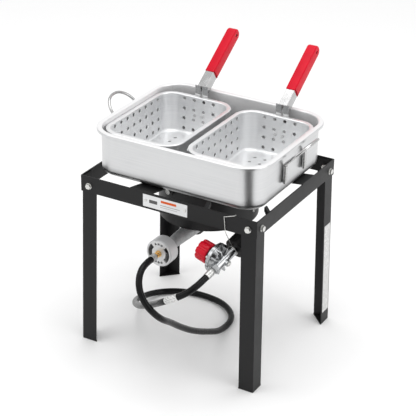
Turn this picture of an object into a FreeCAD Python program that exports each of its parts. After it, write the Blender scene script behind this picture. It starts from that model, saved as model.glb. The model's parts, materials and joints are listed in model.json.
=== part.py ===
import FreeCAD, Part
import math
import os
from FreeCAD import Vector

# Propane fish fryer: a rectangular stand with a round wind shield and burner, a hose with
# its regulator, and a rectangular pan that holds two perforated baskets.
# Millimetres, +Z up. Everything is modelled from the middle of the stand at floor level;
# save() then moves it so that the origin is the middle of the outer box, on the floor.
ORIGIN_BEHIND_STAND = 28.5
ORIGIN_RIGHT_OF_STAND = 2.0

# Stand
STAND_WIDTH = 390.0
STAND_DEPTH = 325.0
STAND_HEIGHT = 370.0
RAIL_HEIGHT = 34.0
RAIL_PLATE = 2.0
LEG_FLANGE = 32.0
LEG_PLATE = 2.0
LEG_TOP = 367.0
LEG_SPLAY = 5.4
FOOT_PLATE = 2.0
BOLT_HEIGHT = 350.0
BOLT_FROM_CORNER = 18.5
BOLT_RADIUS = 3.0
BOLT_HOLE_RADIUS = 3.3

# Wind shield and pan supports
SHIELD_RADIUS = 100.0
SHIELD_PLATE = 1.5
SHIELD_BOTTOM = 278.0
SHIELD_TOP = 362.0
SUPPORT_ANGLES = (-109.0, 13.5, 132.0)
SUPPORT_WIDTH = 48.0
SUPPORT_PLATE = 2.0
SUPPORT_LEG_DROP = 26.0

# Burner
BURNER_AXIS_HEIGHT = 263.5
BRACKET_HEIGHT = 291.0
BRACKET_WIDTH = 52.0
BRACKET_PLATE = 3.0
BURNER_HEAD_RADIUS = 50.0
BURNER_NECK_RADIUS = 17.0
VENTURI_FRONT = -165.0
VENTURI_BACK = -40.0
MIXER_RADIUS = 27.5
MIXER_FRONT = -189.0
MIXER_WALL = 1.5
SHUTTER_GAP = 0.3
SHUTTER_PLATE = 1.5
SPUD_RADIUS = 5.0
SPUD_CLEARANCE = 0.06
ORIFICE_END = -204.0
HOSE_START = -218.0

# Hose: the points of its centre line, from the burner's ferrule to the regulator's.
HOSE_DIAMETER = 13.0
FERRULE_RADIUS = 7.3
HOSE_ROUTE = (
    (0.0, -218.0, 263.5),
    (0.0, -242.7, 263.5),
    (3.2, -265.0, 253.4),
    (11.7, -280.7, 236.4),
    (24.8, -287.0, 216.0),
    (38.9, -282.2, 195.1),
    (50.0, -263.0, 170.2),
    (40.6, -216.2, 137.5),
    (37.2, -168.2, 99.5),
    (37.5, -117.1, 63.9),
    (37.4, -62.4, 33.9),
    (37.7, -7.0, 6.6),
    (34.9, 52.1, 6.6),
    (-9.0, 93.7, 6.6),
    (-69.0, 103.5, 6.6),
    (-121.8, 91.8, 6.6),
    (-164.0, 58.7, 6.8),
    (-169.1, -1.3, 20.7),
    (-143.1, -54.8, 45.1),
    (-107.0, -103.1, 73.6),
    (-68.4, -148.7, 105.6),
    (-28.4, -190.1, 140.5),
    (14.4, -226.6, 174.6),
    (54.4, -261.8, 209.6),
    (89.8, -258.2, 229.7),
)
TAG_RUN = 23
TAG_LENGTH = 24.0

# Regulator: REGULATOR_CENTRE is on its gas line, INLET_AXIS points to the gas cylinder,
# KNOB_AXIS points from the body to the knob, square to the gas line.
REGULATOR_CENTRE = Vector(127.5, -170.0, 273.7)
INLET_AXIS = Vector(0.222, 0.900, 0.374).normalize()
KNOB_AXIS = Vector(-0.966, 0.179, 0.145)
KNOB_AXIS = (KNOB_AXIS - INLET_AXIS * KNOB_AXIS.dot(INLET_AXIS)).normalize()
OUTLET_REACH = 46.0
OUTLET_FIRST_RUN = 31.0
DIAPHRAGM_RADIUS = 30.0
KNOB_RADIUS = 21.0
KNOB_BOTTOM = 27.5
KNOB_TOP = 52.5
NUT_RADIUS = 21.0
NUT_START = 36.0
NUT_END = 71.0
INLET_ARM_RADIUS = 9.0

# Pan
PAN_OFFSET = 2.0
PAN_RIM_WIDTH = 381.2
PAN_RIM_DEPTH = 311.2
PAN_RIM_CORNER = 60.0
PAN_RIM_TOP = 465.0
PAN_LIP = 9.2
PAN_RIM_ROUND = 2.4
PAN_LIP_DROP = 6.0
PAN_BOTTOM = 372.0
PAN_BOTTOM_WIDTH = 358.4
PAN_BOTTOM_DEPTH = 287.0
PAN_BOTTOM_CORNER = 42.0
PAN_BOTTOM_FILLET = 12.0
PAN_WALL = 1.6
HANDLE_HALF_SPAN = 40.0
HANDLE_WIRE_RADIUS = 3.0
HANDLE_REACH = 40.0
HANDLE_KNEE = 437.0
HANDLE_TOP = 477.0
HANDLE_ARCH_RADIUS = 38.0
HANDLE_LEG_BOTTOM = 397.0
CLIP_BOTTOM = 398.0
CLIP_TOP = 434.0

# Baskets
BASKET_CENTRE_X = 92.6
BASKET_CENTRE_Y = -3.0
BASKET_RIM_WIDTH = 171.6
BASKET_RIM_DEPTH = 250.0
BASKET_RIM_CORNER = 40.0
BASKET_RIM_ROUND = 1.8
BASKET_LIP = 8.0
BASKET_TOP = 456.5
BASKET_BOTTOM = 373.6
BASKET_BOTTOM_WIDTH = 148.0
BASKET_BOTTOM_DEPTH = 226.0
BASKET_BOTTOM_CORNER = 30.0
BASKET_BOTTOM_FILLET = 8.0
BASKET_WALL = 1.2
HOLE_RADIUS = 3.6
HOLE_PITCH = 22.5
HOLE_ROW_PITCH = 21.5
HOLE_TOP_ROW = 449.0

# Basket handles
HANDLE_ANGLE = 34.5
HANDLE_FOOT_Z = 479.0
HANDLE_WIDTH = 18.0
HANDLE_DEPTH = 22.0
HANDLE_SHEET = 1.4
HANDLE_LENGTH = 154.0
GRIP_START = 38.0
GRIP_SHELL = 1.6
GRIP_HOLE_RADIUS = 3.5
TAB_WIDTH = 12.4
TAB_GAP = 4.0

X = Vector(1, 0, 0)
Y = Vector(0, 1, 0)
Z = Vector(0, 0, 1)


# ---------------------------------------------------------------- basic shapes

def block(x0, x1, y0, y1, z0, z1):
    return Part.makeBox(x1 - x0, y1 - y0, z1 - z0, Vector(x0, y0, z0))


def rod(start, end, radius):
    start = Vector(*start)
    end = Vector(*end)
    return Part.makeCylinder(radius, (end - start).Length, start, end - start)


def cone(start, end, start_radius, end_radius):
    start = Vector(*start)
    end = Vector(*end)
    return Part.makeCone(start_radius, end_radius, (end - start).Length, start, end - start)


def prism(points, thickness):
    """Solid of a flat outline moved along the thickness vector."""
    corners = [Vector(*p) for p in points]
    face = Part.Face(Part.makePolygon(corners + corners[:1]))
    return face.extrude(Vector(*thickness))


def hexagon(start, end, across_flats):
    """Hexagonal bar between two points, one flat level with the bar's own up direction."""
    start = Vector(*start)
    direction = (Vector(*end) - start)
    axis = Vector(direction).normalize()
    side = axis.cross(Z)
    if side.Length < 0.1:
        side = axis.cross(X)
    side.normalize()
    up = side.cross(axis)
    corner = across_flats / math.sqrt(3.0)
    points = []
    for i in range(6):
        turn = math.radians(60.0 * i)
        points.append(start + side * (corner * math.cos(turn)) + up * (corner * math.sin(turn)))
    return prism(points, direction)


def rounded_outline(width, depth, corner, z, centre=(0.0, 0.0)):
    """Closed wire of a rectangle with round corners, level at height z."""
    a = width / 2.0 - corner
    b = depth / 2.0 - corner
    edges = []
    corners = ((a, b), (-a, b), (-a, -b), (a, -b))
    for i, (cx, cy) in enumerate(corners):
        middle = Vector(centre[0] + cx, centre[1] + cy, z)
        arc = [middle + Vector(math.cos(t), math.sin(t), 0) * corner
               for t in (math.pi / 2 * i, math.pi / 2 * (i + 0.5), math.pi / 2 * (i + 1))]
        if edges:
            edges.append(Part.LineSegment(last, arc[0]).toShape())
        edges.append(Part.Arc(*arc).toShape())
        last = arc[2]
        if i == 0:
            first = arc[0]
    edges.append(Part.LineSegment(last, first).toShape())
    return Part.Wire(edges)


def tapered_tub(bottom, top, fillet):
    """Solid between two rounded outlines (width, depth, corner, z) with a rounded bottom edge."""
    centre = bottom[4]
    low = rounded_outline(*bottom[:4], centre)
    high = rounded_outline(*top[:4], centre)
    solid = Part.makeLoft([low, high], True, True)
    bottom_edges = [e for e in solid.Edges if e.BoundBox.ZMax < bottom[3] + 0.01]
    return solid.makeFillet(fillet, bottom_edges)


def round_rim(solid, z, radius):
    """Round the level edges at height z."""
    edges = [e for e in solid.Edges
             if abs(e.BoundBox.ZMin - z) < 0.02 and abs(e.BoundBox.ZMax - z) < 0.02]
    return solid.makeFillet(radius, edges)


def plate(width, depth, corner, z0, z1, centre=(0.0, 0.0)):
    return Part.Face(rounded_outline(width, depth, corner, z0, centre)).extrude(Z * (z1 - z0))


def fuse(shapes):
    solid = shapes[0].multiFuse(shapes[1:]) if len(shapes) > 1 else shapes[0]
    return solid.removeSplitter()


def round_path(points):
    """Straight runs joined by tangent arcs, each as large as its two runs allow."""
    points = [Vector(*p) for p in points]
    edges = []
    radii = []
    start = points[0]
    for i in range(1, len(points) - 1):
        back = points[i - 1] - points[i]
        ahead = points[i + 1] - points[i]
        tangent = 0.45 * min(back.Length, ahead.Length)
        turn = math.pi - back.getAngle(ahead)
        radii.append(tangent / math.tan(turn / 2.0))
        back.normalize()
        ahead.normalize()
        enter = points[i] + back * tangent
        leave = points[i] + ahead * tangent
        inward = Vector(back + ahead).normalize()
        to_centre = math.hypot(radii[-1], tangent)
        middle = points[i] + inward * (to_centre - radii[-1])
        edges.append(Part.LineSegment(start, enter).toShape())
        edges.append(Part.Arc(enter, middle, leave).toShape())
        start = leave
    edges.append(Part.LineSegment(start, points[-1]).toShape())
    return Part.Wire(edges), radii


def tube_along(points, radius, inner=0.0):
    """Round bar, or pipe, along a path of runs and arcs."""
    path, radii = round_path(points)
    direction = Vector(*points[1]) - Vector(*points[0])
    ring = Part.Wire(Part.makeCircle(radius, Vector(*points[0]), direction))
    solid = path.makePipeShell([ring], True, False)
    if inner:
        hole = Part.Wire(Part.makeCircle(inner, Vector(*points[0]), direction))
        solid = solid.cut(path.makePipeShell([hole], True, False))
    return solid, radii, path.Length


# ---------------------------------------------------------------- stand

def rails():
    """Four flat rails on edge: front and back run the full width, the sides fit between."""
    half_w = STAND_WIDTH / 2
    half_d = STAND_DEPTH / 2
    z0 = STAND_HEIGHT - RAIL_HEIGHT
    z1 = STAND_HEIGHT
    inner_d = half_d - RAIL_PLATE
    parts = {
        "front_rail": block(-half_w, half_w, -half_d, -inner_d, z0, z1),
        "rear_rail": block(-half_w, half_w, inner_d, half_d, z0, z1),
        "left_rail": block(-half_w, -half_w + RAIL_PLATE, -inner_d, inner_d, z0, z1),
        "right_rail": block(half_w - RAIL_PLATE, half_w, -inner_d, inner_d, z0, z1),
    }
    drills = [bolt_axis_rod(sx, sy, face, BOLT_HOLE_RADIUS)
              for sx, sy, face in bolt_places()]
    holes = Part.makeCompound(drills)
    return {name: shape.cut(holes) for name, shape in parts.items()}


def bolt_places():
    """(x side, y side, face) of the eight leg bolts: one through each flange of each leg."""
    return [(sx, sy, face) for sx in (-1, 1) for sy in (-1, 1) for face in ("x", "y")]


def bolt_line(sx, sy, face):
    """Point on the rail's outer face and the outward direction of a leg bolt."""
    if face == "y":
        x = sx * (STAND_WIDTH / 2 - BOLT_FROM_CORNER)
        return Vector(x, sy * STAND_DEPTH / 2, BOLT_HEIGHT), Vector(0, sy, 0)
    y = sy * (STAND_DEPTH / 2 - BOLT_FROM_CORNER)
    return Vector(sx * STAND_WIDTH / 2, y, BOLT_HEIGHT), Vector(sx, 0, 0)


def bolt_axis_rod(sx, sy, face, radius):
    point, outward = bolt_line(sx, sy, face)
    return rod(point + outward * 10, point - outward * 20, radius)


def leg(sx, sy):
    """Angle-section leg inside a rail corner, upright behind the rails, splayed below them."""
    corner_x = STAND_WIDTH / 2 - RAIL_PLATE
    corner_y = STAND_DEPTH / 2 - RAIL_PLATE
    knee = STAND_HEIGHT - RAIL_HEIGHT

    def angle_outline(z, shift):
        ax = corner_x + shift
        ay = corner_y + shift
        bx = ax - LEG_FLANGE
        by = ay - LEG_FLANGE
        inner_x = ax - LEG_PLATE
        inner_y = ay - LEG_PLATE
        points = ((ax, ay), (bx, ay), (bx, inner_y), (inner_x, inner_y), (inner_x, by), (ax, by))
        corners = [Vector(sx * x, sy * y, z) for x, y in points]
        return Part.makePolygon(corners + corners[:1])

    upper = Part.makeLoft([angle_outline(knee, 0), angle_outline(LEG_TOP, 0)], True, True)
    lower = Part.makeLoft([angle_outline(FOOT_PLATE, LEG_SPLAY), angle_outline(knee, 0)],
                          True, True)
    shape = fuse([upper, lower])
    holes = [bolt_axis_rod(sx, sy, face, BOLT_HOLE_RADIUS) for face in ("x", "y")]
    return shape.cut(Part.makeCompound(holes))


def foot(sx, sy):
    """Three-cornered plate under a leg."""
    ax = STAND_WIDTH / 2 - RAIL_PLATE + LEG_SPLAY
    ay = STAND_DEPTH / 2 - RAIL_PLATE + LEG_SPLAY
    reach = LEG_FLANGE + 1
    points = ((ax, ay), (ax - reach, ay), (ax - reach, ay - 2), (ax - 2, ay - reach),
              (ax, ay - reach))
    return prism([(sx * x, sy * y, 0) for x, y in points], (0, 0, FOOT_PLATE))


def leg_bolt(sx, sy, face):
    """Flange-head bolt through rail and leg."""
    point, outward = bolt_line(sx, sy, face)
    flange = rod(point, point + outward * 1.4, 6.6)
    head = hexagon(point + outward * 1.4, point + outward * 5.2, 10.0)
    shank = rod(point, point - outward * 12, BOLT_RADIUS)
    return fuse([flange, head, shank])


def leg_nut(sx, sy, face):
    point, outward = bolt_line(sx, sy, face)
    start = point - outward * (RAIL_PLATE + LEG_PLATE)
    nut = hexagon(start - outward * 5.0, start, 10.0)
    return nut.cut(bolt_axis_rod(sx, sy, face, BOLT_RADIUS + 0.1))


def pan_stops():
    """Four narrow tabs, welded to the rails, that keep the pan in the middle."""
    half_w = STAND_WIDTH / 2 - RAIL_PLATE
    half_d = STAND_DEPTH / 2 - RAIL_PLATE
    side = PAN_BOTTOM_WIDTH / 2 + PAN_OFFSET + 2.5
    front = PAN_BOTTOM_DEPTH / 2 + 2.5
    half = 4.0

    def profile(face, reach):
        return ((face, STAND_HEIGHT - 14), (face, STAND_HEIGHT - 2), (reach + 2, STAND_HEIGHT + 8),
                (reach, STAND_HEIGHT + 8), (reach, STAND_HEIGHT), (face - 2, STAND_HEIGHT - 14))

    stops = []
    for s in (1, -1):
        y = -111.0 * s
        stops.append(prism([(s * u, y - half, z) for u, z in profile(half_w, side)],
                           (0, 2 * half, 0)))
        x = 84.0 * s
        stops.append(prism([(x - half, -s * u, z) for u, z in profile(half_d, front)],
                           (2 * half, 0, 0)))
    return Part.makeCompound(stops)


# ---------------------------------------------------------------- wind shield

def wind_shield():
    shield = rod((0, 0, SHIELD_BOTTOM), (0, 0, SHIELD_TOP), SHIELD_RADIUS)
    bore = rod((0, 0, SHIELD_BOTTOM), (0, 0, SHIELD_TOP), SHIELD_RADIUS - SHIELD_PLATE)
    holes = [turned(screw_rod(BOLT_HOLE_RADIUS), a) for a in SUPPORT_ANGLES]
    holes += [turned(bracket_screw_rod(BOLT_HOLE_RADIUS), a) for a in (0, 180)]
    return shield.cut(bore).cut(Part.makeCompound(holes))


def turned(shape, angle):
    copy = shape.copy()
    copy.rotate(Vector(0, 0, 0), Z, angle)
    return copy


def screw_rod(radius):
    z = SHIELD_TOP - 14
    return rod((SHIELD_RADIUS - 6, 0, z), (SHIELD_RADIUS + 6, 0, z), radius)


def bracket_screw_rod(radius):
    z = BRACKET_HEIGHT + 12
    return rod((SHIELD_RADIUS - 10, 0, z), (SHIELD_RADIUS + 4, 0, z), radius)


def reach_to_rail(angle):
    """Distance from the middle of the stand to the outer face of the rail at that angle."""
    turn = math.radians(angle)
    reach_x = (STAND_WIDTH / 2) / max(abs(math.cos(turn)), 1e-6)
    reach_y = (STAND_DEPTH / 2) / max(abs(math.sin(turn)), 1e-6)
    return min(reach_x, reach_y)


def pan_support(angle):
    """Flat strap from the rail's top edge to the shield, with a leg down the shield's outside."""
    outer = reach_to_rail(angle) + 30
    z1 = PAN_BOTTOM
    z0 = z1 - SUPPORT_PLATE
    half = SUPPORT_WIDTH / 2
    strap = block(SHIELD_RADIUS - 14, outer, -half, half, z0, z1)
    leg_x = SHIELD_RADIUS + 2.2
    down = block(leg_x, leg_x + SUPPORT_PLATE, -11, 11, z0 - SUPPORT_LEG_DROP, z0)
    shape = fuse([strap, down]).cut(screw_rod(BOLT_HOLE_RADIUS))
    shape = turned(shape, angle)
    frame = block(-STAND_WIDTH / 2, STAND_WIDTH / 2, -STAND_DEPTH / 2, STAND_DEPTH / 2,
                  z0 - SUPPORT_LEG_DROP, z1)
    return shape.common(frame)


def shield_screws():
    """Three screws through shield and support legs and two that hold the burner bracket."""
    screws = []
    z = SHIELD_TOP - 14
    outer = SHIELD_RADIUS + 2.2 + SUPPORT_PLATE
    inner = SHIELD_RADIUS - SHIELD_PLATE
    for angle in SUPPORT_ANGLES:
        head = rod((outer, 0, z), (outer + 3, 0, z), 5.6)
        shank = rod((inner - 7, 0, z), (outer, 0, z), 2.9)
        nut = hexagon((inner - 5, 0, z), (inner - 1, 0, z), 9.0)
        screws.append(turned(fuse([head, shank, nut]), angle))
    z = BRACKET_HEIGHT + 12
    for angle in (0, 180):
        head = rod((SHIELD_RADIUS + 0.1, 0, z), (SHIELD_RADIUS + 3, 0, z), 5.6)
        shank = rod((inner - BRACKET_PLATE - 6, 0, z), (SHIELD_RADIUS + 0.1, 0, z), 2.9)
        nut = hexagon((inner - BRACKET_PLATE - 5, 0, z), (inner - BRACKET_PLATE - 1.2, 0, z), 9.0)
        screws.append(turned(fuse([head, shank, nut]), angle))
    return Part.makeCompound(screws)


# ---------------------------------------------------------------- burner

def burner_bracket():
    """Flat bar across the shield, ends turned up, with a hole that the burner's neck passes."""
    reach = SHIELD_RADIUS - SHIELD_PLATE - 0.9
    half = BRACKET_WIDTH / 2
    z0 = BRACKET_HEIGHT
    side = math.sqrt((SHIELD_RADIUS - SHIELD_PLATE) ** 2 - half ** 2) - 1.0
    bar = block(-side, side, -half, half, z0, z0 + BRACKET_PLATE)
    tips = [block(-reach, reach, -10, 10, z0, z0 + BRACKET_PLATE)]
    for s in (-1, 1):
        x0, x1 = sorted((s * reach, s * (reach - BRACKET_PLATE)))
        tips.append(block(x0, x1, -10, 10, z0, z0 + 22))
    shape = fuse([bar] + tips)
    shape = shape.cut(rod((0, 0, z0 - 5), (0, 0, z0 + 10), BURNER_NECK_RADIUS + 0.6))
    for s in (-1, 1):
        shape = shape.cut(rod((s * 36, 0, z0 - 5), (s * 36, 0, z0 + 10), BOLT_HOLE_RADIUS))
    for angle in (0, 180):
        shape = shape.cut(turned(bracket_screw_rod(BOLT_HOLE_RADIUS), angle))
    return shape


def burner_casting():
    """Cast iron burner: flange, neck through the bracket and a socket for the venturi."""
    z0 = BRACKET_HEIGHT + BRACKET_PLATE
    head_z = z0 + 14
    flange = rod((0, 0, z0), (0, 0, z0 + 5), 44)
    body = cone((0, 0, z0 + 5), (0, 0, head_z), 24, BURNER_HEAD_RADIUS)
    neck = rod((0, 0, BURNER_AXIS_HEIGHT - 12), (0, 0, z0), BURNER_NECK_RADIUS)
    elbow = Part.makeSphere(BURNER_NECK_RADIUS, Vector(0, 0, BURNER_AXIS_HEIGHT))
    socket = rod((0, 0, BURNER_AXIS_HEIGHT), (0, VENTURI_BACK - 14, BURNER_AXIS_HEIGHT), 20.0)
    shape = fuse([flange, body, neck, elbow, socket])
    bore = rod((0, VENTURI_BACK + 1, BURNER_AXIS_HEIGHT),
               (0, VENTURI_BACK - 15, BURNER_AXIS_HEIGHT), 16.3)
    return shape.cut(bore).cut(burner_bolt_holes())


def burner_bolt_holes():
    z0 = BRACKET_HEIGHT + BRACKET_PLATE
    return Part.makeCompound([rod((s * 36, 0, z0 - 1), (s * 36, 0, z0 + 40), BOLT_HOLE_RADIUS)
                              for s in (-1, 1)])


def burner_cap():
    """Ported head that closes the casting from above."""
    head_z = BRACKET_HEIGHT + BRACKET_PLATE + 14
    rim = rod((0, 0, head_z), (0, 0, head_z + 12), BURNER_HEAD_RADIUS)
    crown = cone((0, 0, head_z + 12), (0, 0, head_z + 18), BURNER_HEAD_RADIUS, 30)
    ports = []
    for i in range(24):
        port = rod((BURNER_HEAD_RADIUS - 6, 0, head_z + 6), (BURNER_HEAD_RADIUS + 2, 0, head_z + 6),
                   1.8)
        ports.append(turned(port, 15.0 * i))
    for i in range(12):
        port = rod((22, 0, head_z + 12), (22, 0, head_z + 20), 1.8)
        ports.append(turned(port, 30.0 * i))
    return fuse([rim, crown]).cut(Part.makeCompound(ports)).cut(burner_bolt_holes())


def burner_bolts():
    """Two screws that hold the casting's flange to the bracket, nuts underneath."""
    bolts = []
    z0 = BRACKET_HEIGHT
    top = z0 + BRACKET_PLATE + 14 + 18
    for s in (-1, 1):
        shank = rod((s * 36, 0, z0 - 7), (s * 36, 0, top), 2.9)
        nut = hexagon((s * 36, 0, z0 - 5), (s * 36, 0, z0), 10.0)
        head = rod((s * 36, 0, top), (s * 36, 0, top + 3), 4.8)
        bolts.append(fuse([shank, nut, head]))
    return Part.makeCompound(bolts)


def venturi_tube():
    """Steel mixing tube that widens from the mixer to the burner."""
    z = BURNER_AXIS_HEIGHT
    outer = cone((0, VENTURI_FRONT, z), (0, VENTURI_BACK - 15, z), 10.5, 16.0)
    outer = fuse([outer, rod((0, VENTURI_BACK - 15, z), (0, VENTURI_BACK, z), 16.0)])
    inner = cone((0, VENTURI_FRONT, z), (0, VENTURI_BACK, z), 9.0, 14.2)
    return outer.cut(inner)


def shutter_openings(y0, y1):
    """Two curved slots left and right and three small holes above and below."""
    z = BURNER_AXIS_HEIGHT
    ring = rod((0, y0, z), (0, y1, z), 23.5).cut(rod((0, y0, z), (0, y1, z), 15.0))
    cuts = []
    for s in (-1, 1):
        wedge = prism([(0, y0, z), (s * 40, y0, z + 40 * math.tan(math.radians(46))),
                       (s * 40, y0, z - 40 * math.tan(math.radians(46)))], (0, y1 - y0, 0))
        cuts.append(ring.common(wedge))
    for s in (-1, 1):
        for turn in (-20, 0, 20):
            a = math.radians(turn)
            x = 19.5 * math.sin(a)
            dz = s * 19.5 * math.cos(a)
            cuts.append(rod((x, y0, z + dz), (x, y1, z + dz), 2.3))
    return Part.makeCompound(cuts)


def mixer_bell():
    """Cup on the front of the venturi, its face open through slots."""
    z = BURNER_AXIS_HEIGHT
    cup = rod((0, MIXER_FRONT, z), (0, VENTURI_FRONT, z), MIXER_RADIUS)
    hollow = rod((0, MIXER_FRONT + MIXER_WALL, z), (0, VENTURI_FRONT - MIXER_WALL, z),
                 MIXER_RADIUS - MIXER_WALL)
    throat = rod((0, VENTURI_FRONT - 3, z), (0, VENTURI_FRONT + 1, z), 9.0)
    spud = rod((0, MIXER_FRONT - 1, z), (0, MIXER_FRONT + 3, z), SPUD_RADIUS + 0.1)
    slots = shutter_openings(MIXER_FRONT - 1, MIXER_FRONT + MIXER_WALL + 1)
    return cup.cut(hollow).cut(throat).cut(spud).cut(slots)


def air_shutter():
    """Slotted disc that turns on the orifice spud in front of the mixer's face."""
    z = BURNER_AXIS_HEIGHT
    back = MIXER_FRONT - SHUTTER_GAP
    front = back - SHUTTER_PLATE
    disc = rod((0, front, z), (0, back, z), MIXER_RADIUS - 1.0)
    spud = rod((0, front - 1, z), (0, back + 1, z), SPUD_RADIUS + SPUD_CLEARANCE)
    return disc.cut(spud).cut(shutter_openings(front - 1, back + 1))


def orifice_fitting():
    """Brass spud through the mixer's face, with its hexagon outside."""
    z = BURNER_AXIS_HEIGHT
    shoulder = MIXER_FRONT - SHUTTER_GAP - SHUTTER_PLATE - 0.3
    spud = rod((0, shoulder, z), (0, MIXER_FRONT + 9, z), SPUD_RADIUS)
    washer = rod((0, shoulder - 1.2, z), (0, shoulder, z), 6.6)
    hexa = hexagon((0, shoulder - 6.2, z), (0, shoulder - 1.2, z), 11.0)
    collar = rod((0, ORIFICE_END + 2.6, z), (0, shoulder - 6.2, z), 3.9)
    stop = rod((0, ORIFICE_END, z), (0, ORIFICE_END + 2.6, z), 5.0)
    jet = cone((0, MIXER_FRONT + 9, z), (0, MIXER_FRONT + 15, z), 4.5, 2.2)
    bore = rod((0, ORIFICE_END - 1, z), (0, MIXER_FRONT + 9, z), 2.5)
    jet_bore = rod((0, MIXER_FRONT + 8, z), (0, MIXER_FRONT + 16, z), 0.8)
    return fuse([spud, washer, hexa, collar, stop, jet]).cut(bore).cut(jet_bore)


def orifice_lock_nut():
    z = BURNER_AXIS_HEIGHT
    start = MIXER_FRONT + MIXER_WALL
    nut = hexagon((0, start, z), (0, start + 4, z), 15.0)
    return nut.cut(rod((0, start - 1, z), (0, start + 5, z), SPUD_RADIUS + 0.1))


# ---------------------------------------------------------------- regulator

def place_on_regulator(shape):
    """From the regulator's own frame: X along the gas line to the inlet, Z towards the knob."""
    side = KNOB_AXIS.cross(INLET_AXIS)
    m = FreeCAD.Matrix(INLET_AXIS.x, side.x, KNOB_AXIS.x, REGULATOR_CENTRE.x,
                       INLET_AXIS.y, side.y, KNOB_AXIS.y, REGULATOR_CENTRE.y,
                       INLET_AXIS.z, side.z, KNOB_AXIS.z, REGULATOR_CENTRE.z,
                       0, 0, 0, 1)
    copy = shape.copy()
    copy.Placement = FreeCAD.Placement(m)
    return copy


def regulator_body():
    """Cast lower half: dish with ribs, gas line across it, inlet arm and outlet hexagon."""
    dish = cone((0, 0, 3), (0, 0, 11), 22, 28)
    flange = rod((0, 0, 11), (0, 0, 15), DIAPHRAGM_RADIUS)
    line = rod((-18, 0, 0), (26, 0, 0), 9.5)
    pad = block(-17, 22, -9.5, 9.5, 0, 4)
    arm = rod((20, 0, 0), (NUT_START + 3, 0, 0), INLET_ARM_RADIUS)
    boss = rod((2, 0, -14), (2, 0, 0), 6.5)
    ribs = []
    for turn in (50, 90, 130):
        rib = block(-27, 27, -1.5, 1.5, -2, 11)
        rib.rotate(Vector(0, 0, 0), Z, turn)
        ribs.append(rib)
    outlet = hexagon((-27, 0, 0), (-17, 0, 0), 17.0)
    shape = fuse([dish, flange, line, pad, arm, boss, outlet] + ribs)
    return shape


def regulator_cover():
    """Upper half: flange, shallow dome and the neck that the knob turns on."""
    flange = rod((0, 0, 15), (0, 0, 17.5), DIAPHRAGM_RADIUS)
    dome = cone((0, 0, 17.5), (0, 0, 24), 25, 16)
    neck = rod((0, 0, 24), (0, 0, KNOB_BOTTOM + 14), 12.0)
    stem = rod((0, 0, KNOB_BOTTOM + 14), (0, 0, KNOB_TOP - 4), 4.0)
    return fuse([flange, dome, neck, stem])


def cover_screws():
    """Four small screws through the cover's flange."""
    screws = []
    for i in range(4):
        head = rod((27.6, 0, 17.5), (27.6, 0, 19.7), 2.2)
        screws.append(turned(head, 45 + 90 * i))
    return Part.makeCompound(screws)


def vent_plug():
    """Small vent on the back of the gas line's boss."""
    return hexagon((2, 0, -16.5), (2, 0, -14), 8.0)


def regulator_knob():
    """Hollow adjusting knob with eight lobes, open towards the body."""
    shape = rod((0, 0, KNOB_BOTTOM), (0, 0, KNOB_TOP), KNOB_RADIUS)
    grooves = []
    for i in range(8):
        groove = block(KNOB_RADIUS - 2.4, KNOB_RADIUS + 2, -1.7, 1.7, KNOB_BOTTOM - 1, KNOB_TOP + 1)
        grooves.append(turned(groove, 22.5 + 45.0 * i))
    cavity = rod((0, 0, KNOB_BOTTOM - 1), (0, 0, KNOB_TOP - 3.5), KNOB_RADIUS - 5.2)
    shape = shape.cut(Part.makeCompound(grooves)).cut(cavity)
    hub = rod((0, 0, KNOB_BOTTOM + 15), (0, 0, KNOB_TOP - 3.5), 8.0)
    shape = shape.fuse(hub)
    socket = rod((0, 0, KNOB_BOTTOM + 10), (0, 0, KNOB_TOP - 3.8), 4.0 + 0.05)
    return shape.cut(socket).removeSplitter()


def inlet_nut():
    """Ribbed hand nut that screws onto the gas cylinder's valve."""
    shell = rod((NUT_START, 0, 0), (NUT_END, 0, 0), NUT_RADIUS - 1.6)
    collar = rod((NUT_START, 0, 0), (NUT_START + 4, 0, 0), NUT_RADIUS)
    ribs = []
    for i in range(18):
        rib = block(NUT_START + 5.5, NUT_END - 2, NUT_RADIUS - 2.6, NUT_RADIUS - 0.4, -1.6, 1.6)
        rib.rotate(Vector(0, 0, 0), X, 20.0 * i)
        ribs.append(rib)
    shape = fuse([shell, collar] + ribs)
    mouth = rod((NUT_START + 8, 0, 0), (NUT_END + 1, 0, 0), 15.5)
    hole = rod((NUT_START - 1, 0, 0), (NUT_START + 9, 0, 0), INLET_ARM_RADIUS + 0.08)
    return shape.cut(mouth).cut(hole)


def inlet_nipple():
    """Nose inside the nut that seals in the cylinder's valve."""
    body = rod((NUT_START + 3, 0, 0), (NUT_START + 16, 0, 0), INLET_ARM_RADIUS)
    flange = rod((NUT_START + 9, 0, 0), (NUT_START + 12, 0, 0), 12.0)
    nose = cone((NUT_START + 16, 0, 0), (NUT_START + 25, 0, 0), INLET_ARM_RADIUS, 5.0)
    bore = rod((NUT_START + 6, 0, 0), (NUT_START + 26, 0, 0), 2.5)
    return fuse([body, flange, nose]).cut(bore)


def regulator_ferrule():
    return rod((-OUTLET_REACH, 0, 0), (-27, 0, 0), FERRULE_RADIUS)


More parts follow.
